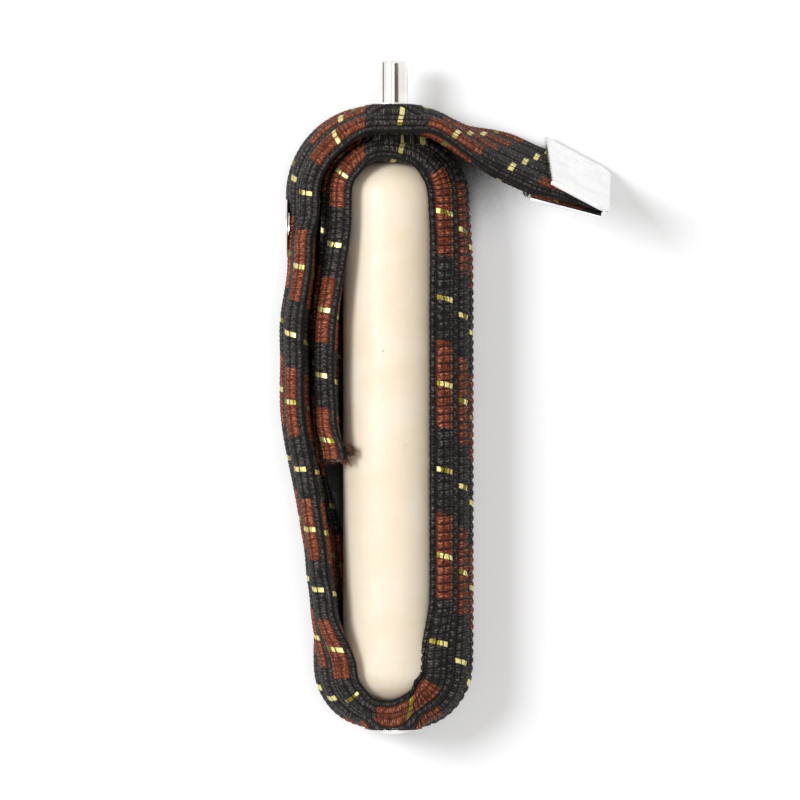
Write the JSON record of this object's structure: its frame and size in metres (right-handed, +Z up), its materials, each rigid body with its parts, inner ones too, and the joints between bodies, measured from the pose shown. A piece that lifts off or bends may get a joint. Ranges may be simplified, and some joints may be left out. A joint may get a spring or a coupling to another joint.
{
  "type": "elastic guitar capo",
  "caption": "Elastic guitar capo: a steel rod in a latex sleeve, with a woven elastic strap that hooks over the rod's peg by an eyelet and ends in a folded metal clasp.",
  "frame": {"origin": "on the rod's axis, where the free peg comes out of the hook eyelet's flange", "axes": "+Y along the rod towards the peg's tip, +Z up from the table that the strap's lower edge stands on, +X across the sleeve towards the clasp"},
  "size_m": [0.0374, 0.074, 0.0133],
  "materials": {
    "rod_steel": "bright nickel plate on steel",
    "latex": "satin natural latex tube",
    "strap_weave": "ribbed woven elastic, black and rust brown with gold dashes",
    "rubber_core": "matt rubber thread",
    "eyelet_nickel": "bright nickel plate on brass",
    "clasp_nickel": "bright nickel plate on sheet steel"
  },
  "bodies": {
    "strap_loop": {"strap_cut_run": "strap_weave", "strap_inner_turn": "strap_weave", "strap_right_run": "strap_weave", "strap_bottom_turn": "strap_weave", "strap_outer_run": "strap_weave", "inner_eyelet": "eyelet_nickel", "inner_washer": "eyelet_nickel", "bottom_eyelet": "eyelet_nickel", "bottom_washer": "eyelet_nickel", "cut_end_cores": "rubber_core"},
    "roller": {"rod": "rod_steel", "latex_sleeve": "latex"},
    "hook_end": {"strap_hook_turn": "strap_weave", "strap_tail_bend": "strap_weave", "hook_eyelet": "eyelet_nickel", "hook_washer": "eyelet_nickel", "spare_eyelet": "eyelet_nickel", "spare_washer": "eyelet_nickel"},
    "free_tail": {"strap_tail": "strap_weave", "tail_clasp": "clasp_nickel"}
  },
  "joints": [
    {"name": "rod_roll", "type": "hinge", "parent": "strap_loop", "child": "roller", "pos_m": [0, 0, 0], "axis": [0, 1, 0], "continuous": true},
    {"name": "strap_pull", "type": "slide", "parent": "strap_loop", "child": "hook_end", "axis": [0, 1, 0], "range_m": [0, 0.008], "stiffness_N_per_m": 150, "deforming": ["strap_outer_run"]},
    {"name": "tail_swing", "type": "hinge", "parent": "hook_end", "child": "free_tail", "pos_m": [0.00907, -0.00394, 0], "axis": [0, 0, 1], "range_deg": [-25, 60], "stiffness_Nm_per_rad": 0.0005, "deforming": ["strap_tail_bend"]}
  ]
}
